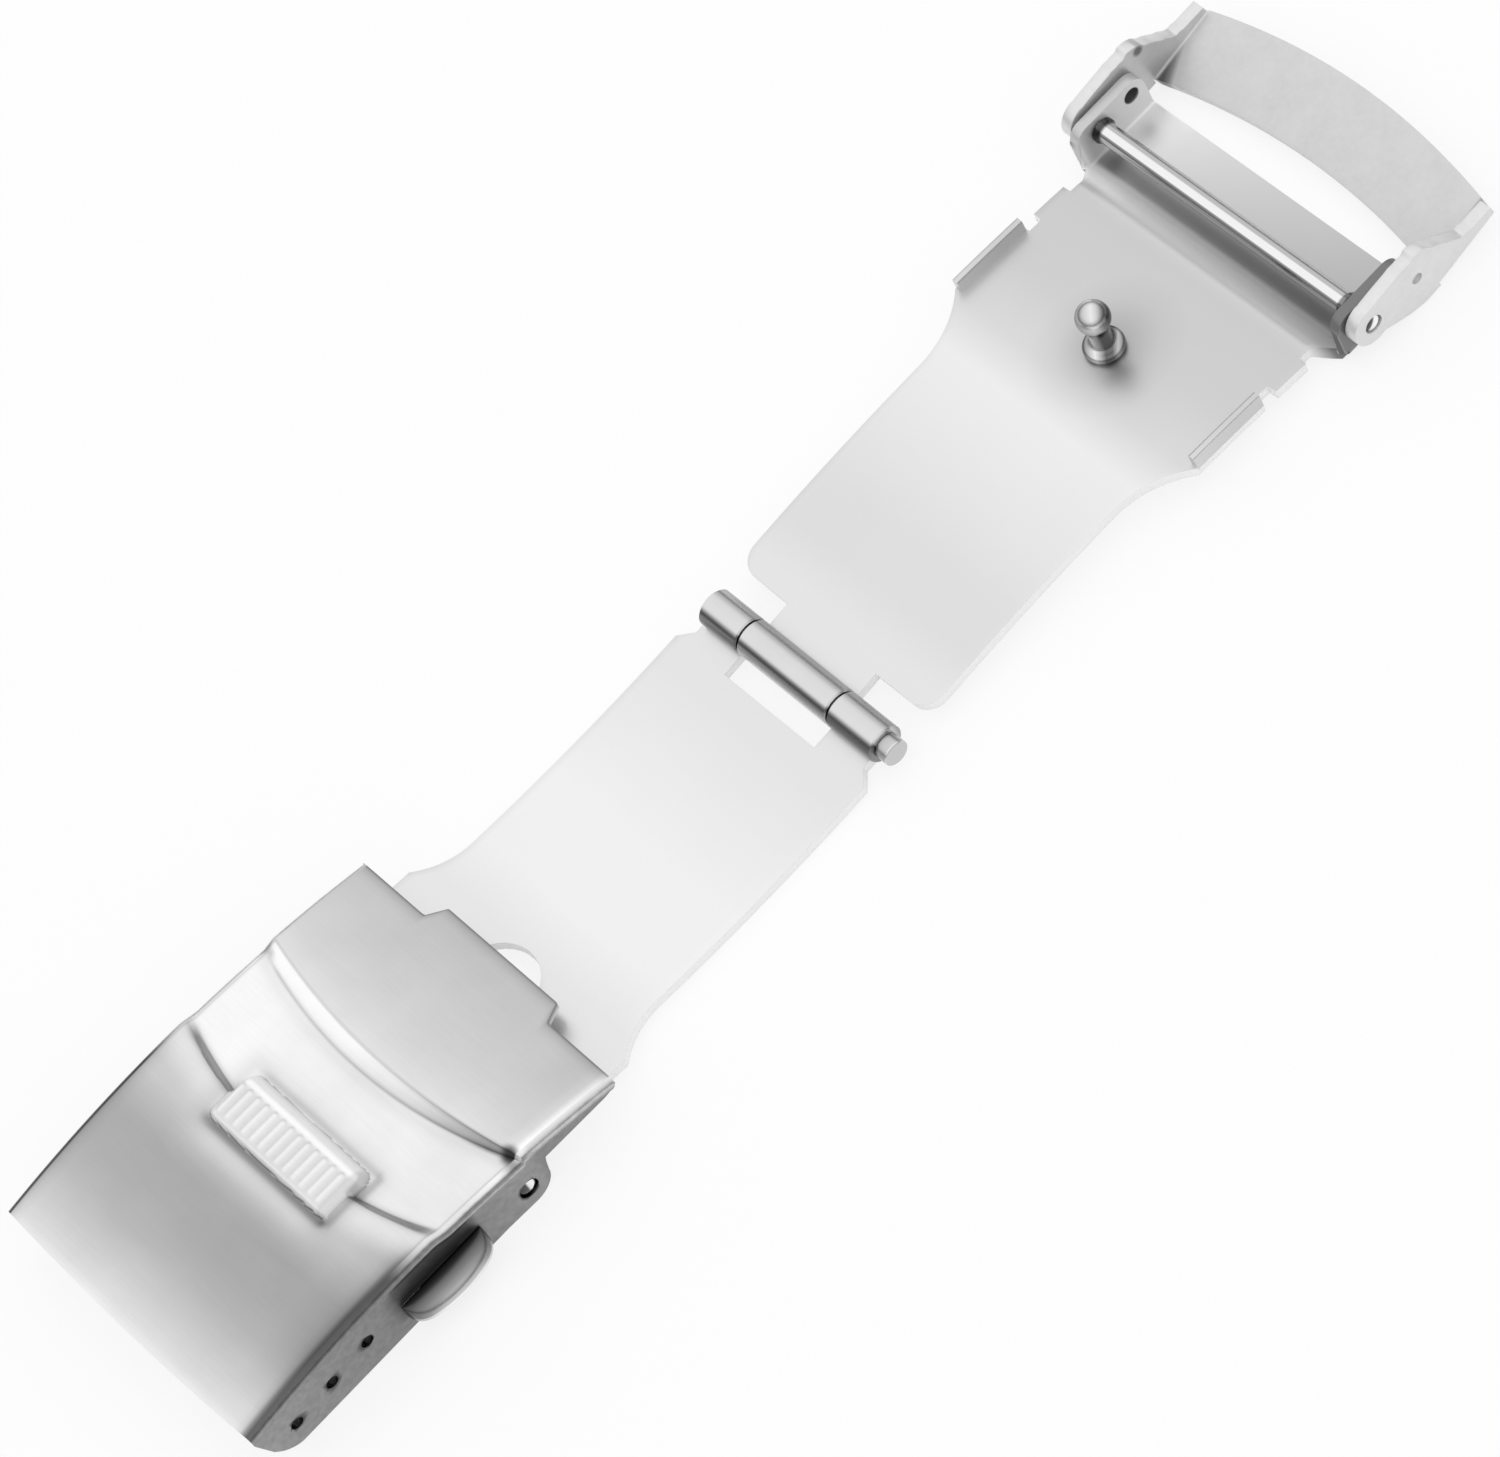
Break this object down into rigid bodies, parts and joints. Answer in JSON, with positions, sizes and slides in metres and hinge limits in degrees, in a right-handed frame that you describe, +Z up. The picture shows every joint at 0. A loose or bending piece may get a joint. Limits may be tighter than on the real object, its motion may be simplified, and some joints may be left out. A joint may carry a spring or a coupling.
{
  "type": "deployant clasp",
  "caption": "Folding steel watch bracelet clasp, open: cover with push buttons, two hinged blades, ball peg and flip lock.",
  "frame": {"origin": "centre of the bounding box's bottom, on the surface that the open clasp lies on", "axes": "+X along the clasp from the cover to the flip lock, +Y across it, +Z up"},
  "size_m": [0.0902, 0.0226, 0.0058],
  "materials": {
    "brushed_steel": "brushed",
    "polished_steel": "polished",
    "spring_steel": "satin"
  },
  "bodies": {
    "cover": {"cover_shell": "brushed_steel", "catch_frame": "brushed_steel", "cover_hinge_pin": "polished_steel"},
    "button_left": {"push_button_left": "brushed_steel", "button_spring_left": "spring_steel"},
    "button_right": {"push_button_right": "brushed_steel", "button_spring_right": "spring_steel"},
    "inner_blade": {"blade_1": "brushed_steel", "middle_hinge_pin": "polished_steel"},
    "outer_blade": {"blade_2": "brushed_steel", "catch_peg": "polished_steel", "lock_bar_tube": "polished_steel", "lock_bar_spring": "spring_steel"},
    "tip_left": {"lock_bar_tip_left": "polished_steel"},
    "tip_right": {"lock_bar_tip_right": "polished_steel"},
    "bail": {"flip_lock": "brushed_steel"}
  },
  "joints": [
    {"name": "cover_hinge", "type": "hinge", "parent": "cover", "child": "inner_blade", "pos_m": [-0.02644, 0, 0.00142], "axis": [0, 1, 0], "range_deg": [0, 171.9]},
    {"name": "middle_hinge", "type": "hinge", "parent": "inner_blade", "child": "outer_blade", "pos_m": [0.00236, 0, 0.00152], "axis": [0, -1, 0], "range_deg": [0, 176.6]},
    {"name": "flip_lock_hinge", "type": "hinge", "parent": "outer_blade", "child": "bail", "pos_m": [0.03486, 0, 0.00247], "axis": [0, -1, 0], "range_deg": [0, 156]},
    {"name": "button_left", "type": "slide", "parent": "cover", "child": "button_left", "axis": [0, -1, 0], "range_m": [0, 0.00045], "stiffness_N_per_m": 500, "springref_m": -0.001, "deforming": ["button_spring_left"]},
    {"name": "button_right", "type": "slide", "parent": "cover", "child": "button_right", "axis": [0, 1, 0], "range_m": [0, 0.00045], "stiffness_N_per_m": 500, "springref_m": -0.001, "deforming": ["button_spring_right"]},
    {"name": "lock_bar_tip_left", "type": "slide", "parent": "outer_blade", "child": "tip_left", "axis": [0, -1, 0], "range_m": [0, 0.0017], "stiffness_N_per_m": 300, "springref_m": -0.001, "deforming": ["lock_bar_spring"]},
    {"name": "lock_bar_tip_right", "type": "slide", "parent": "outer_blade", "child": "tip_right", "axis": [0, 1, 0], "range_m": [0, 0.0017], "stiffness_N_per_m": 300, "springref_m": -0.001, "deforming": ["lock_bar_spring"]}
  ],
  "couplings": [
    {"joint": "middle_hinge", "follows": "cover_hinge", "ratio": 1.0268}
  ]
}
